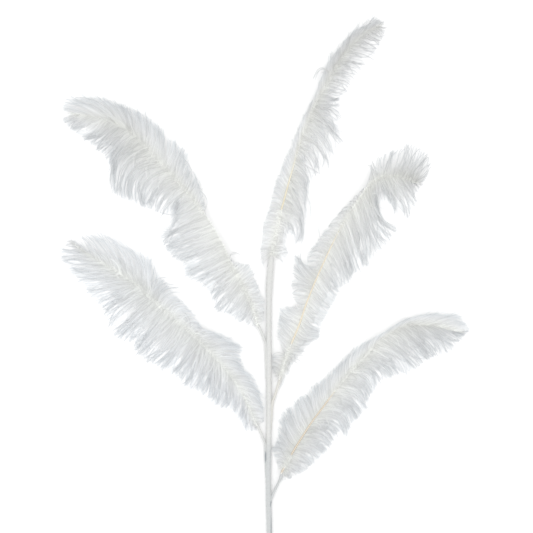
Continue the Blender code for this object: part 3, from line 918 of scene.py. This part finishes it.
def meshFromArrays(name, points, triangles):
    mesh = bpy.data.meshes.new(name)
    mesh.vertices.add(len(points))
    mesh.vertices.foreach_set("co", points.ravel())
    mesh.loops.add(triangles.size)
    mesh.loops.foreach_set("vertex_index", triangles.ravel())
    mesh.polygons.add(len(triangles))
    mesh.polygons.foreach_set("loop_start", np.arange(0, triangles.size, 3))
    mesh.update(calc_edges=True)
    return mesh


def addAttribute(mesh, name, values):
    mesh.attributes.new(name, "FLOAT", "POINT").data.foreach_set("value", values.astype(np.float32))


def addBakeMap(mesh, along, row, rows):
    # a row for each barb, as long as the barb, with each triangle's corners at three heights in it
    heights = np.array((0.2, 0.5, 0.8))
    corner = np.empty(len(mesh.loops), np.int32)
    mesh.loops.foreach_get("vertex_index", corner)
    v = (row[corner] + heights[np.arange(len(corner)) % 3]) / rows
    uv = np.stack([along[corner], v], 1)
    mesh.uv_layers.new(name="OFBake").uv.foreach_set("vector", uv.astype(np.float32).ravel())


def addBarbs(name, feather, looks, material):
    rng = np.random.default_rng(feather["seed"])
    sides = ("drooping", "short")
    groups = [barbPaths(feather, side, "longBarbs", looks, rng) for side in sides]
    groups += [barbPaths(feather, side, "downyBarbs", looks, rng) for side in sides]
    looseGroup = len(groups)
    groups.append(loosePaths(feather, looks))
    bearded = sum(len(group[0]) for group in groups)
    groups += [barbPaths(feather, side, "wisps", looks, rng) for side in sides]
    paths, shares, tones, widths = (np.concatenate(column) for column in zip(*groups))
    member = np.repeat(np.arange(len(groups)), [len(group[0]) for group in groups])
    # painted shade: the bluish grey that each barb takes outward, more on long barbs
    spans = np.linalg.norm(paths[:, -1] - paths[:, 0], axis=1)
    paintedShade = np.array(looks["shadeShares"])[member]
    paintedShade *= np.minimum(1, spans / looks["shadeLength"]) ** looks["shadePower"]
    wisps = paths[bearded:]
    wisps[:, :, :2] += (wisps - wisps[:, :1])[:, :, :2] * (looks["wispReach"] - 1)
    stoutness = np.where(member == looseGroup, looks["looseStoutness"], 1)
    ribbons = barbRibbons(paths, stoutness, looks)
    combs = barbuleCombs(paths[:bearded], widths, looks, looks["triangles"] - len(ribbons[1]), rng)
    points = np.concatenate([ribbons[0], combs[0]])
    triangles = np.concatenate([ribbons[1], combs[1] + len(ribbons[0])])
    along = np.concatenate([ribbons[2], combs[2]])
    barb = np.concatenate([ribbons[3], combs[3]])
    points[:, 2] = np.maximum(points[:, 2], looks["lowestPoint"])
    mesh = meshFromArrays(name + "Barbs", points, triangles)
    # each vane's long barbs, downy barbs and wisps; the loose strands take the drooping vane's tones, which
    # are partly painted shade and painted light
    for side, inVane in ("drooping", (0, 2, looseGroup, 5)), ("short", (1, 3, 6)):
        chosen = np.isin(member, inVane)
        tones[chosen] *= smoothAt(feather[side + "Tones"], shares[chosen])[:, 0]
    addAttribute(mesh, "outwardShade", along * paintedShade[barb])
    addAttribute(mesh, "tone", tones[barb])
    addBakeMap(mesh, along, barb, len(paths))
    mesh.materials.append(material)
    piece = bpy.data.objects.new(name + "Barbs", mesh)
    bpy.context.scene.collection.objects.link(piece)
    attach(piece, "root")
    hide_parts(feather["node"])
    print(name, "barbs:", len(triangles), "triangles")


shaftLooks = {
    "baseRadius": 1.35 * mm,
    "tipRadius": 0.35 * mm,
    "taper": 0.8,
    "stations": 90,
    "sides": 10,
    # painted shade: where downy barbs cover the shaft it is painted grey, as dark as the shaded barbs around
    # it
    "coveredShadeColour": (0.67, 0.68, 0.66, 1),
    "roughness": 0.4,
    "smoothAngle": 50,
}


def makeShaftMaterial(name, colour, looks):
    material, tree, shader = newMaterial(name, looks["roughness"])
    bare = addNode(tree, "Attribute", attribute_name="bare").outputs["Fac"]
    # painted shade where the shaft is covered, its own colour where bare
    tinge = addRamp(tree, bare, ((0, looks["coveredShadeColour"]), (1, (*colour, 1))))
    tree.links.new(tinge, shader.inputs["Base Color"])
    return material


def addShaft(name, feather, looks):
    share = np.linspace(0, 1, looks["stations"])
    path = shaftAt(feather, share)
    length = lengthOf(path)
    radii = looks["baseRadius"] + (looks["tipRadius"] - looks["baseRadius"]) * share ** looks["taper"]
    shaft = extrudedBar(name + "Shaft", list(zip(share * length, radii)), looks["sides"])
    places = np.array([vertex.co.z for vertex in shaft.data.vertices]) / length
    addAttribute(shaft.data, "bare", 1 - covered(feather, places))
    bendAlong(shaft, path)
    shadeSmooth(shaft, looks["smoothAngle"])
    shaft.data.materials.append(makeShaftMaterial(name + "Shaft", feather["shaftColour"], looks))
    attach(shaft, "root")
    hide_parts(feather["node"])
    print(name, "shaft:", len(shaft.data.polygons), "faces")


for name, feather in feathers.items():
    addShaft(name, feather, shaftLooks)


def makeBarbMaterial(name, looks, tint):
    material, tree, shader = newMaterial(name, looks["roughness"])
    outwardShade = addNode(tree, "Attribute", attribute_name="outwardShade").outputs["Fac"]
    # the tone holds random tone together with painted shade and painted light
    tone = addNode(tree, "Attribute", attribute_name="tone").outputs["Fac"]
    # from the feathers' own cream at the foot to painted shade, a bluish grey, outward
    stops = (0, looks["footColour"]), (looks["middle"], looks["middleColour"]), (1, looks["tipShadeColour"])
    colour = addRamp(tree, outwardShade, stops)
    colour = addNode(tree, "VectorMath", [(0, colour), (1, tint)], operation="MULTIPLY").outputs[0]
    colour = addNode(tree, "VectorMath", [(0, colour), ("Scale", tone)], operation="SCALE").outputs[0]
    tree.links.new(colour, shader.inputs["Base Color"])
    shader.inputs["Specular IOR Level"].default_value = looks["gloss"]
    through = addNode(tree, "BsdfTranslucent", [("Color", colour)])
    mix = addNode(tree, "MixShader", [("Fac", looks["translucent"]), (1, shader.outputs[0]),
                                      (2, through.outputs[0])])
    tree.links.new(mix.outputs[0], tree.nodes["Material Output"].inputs["Surface"])
    return material


# the foot's cream is the feathers' own colour; the bluish grey tip colour is painted shade on the outer
# barbs
barbColours = {
    "footColour": (0.934, 0.939, 0.92, 1),
    "middleColour": (0.927, 0.935, 0.939, 1),
    "middle": 0.4,
    "tipShadeColour": (0.793, 0.816, 0.832, 1),
    "translucent": 0.58,
    "roughness": 0.8,
    "gloss": 0.2,
}
for name, feather in feathers.items():
    addBarbs(name, feather, barbLooks, makeBarbMaterial(name + "Barb", barbColours, feather["tint"]))
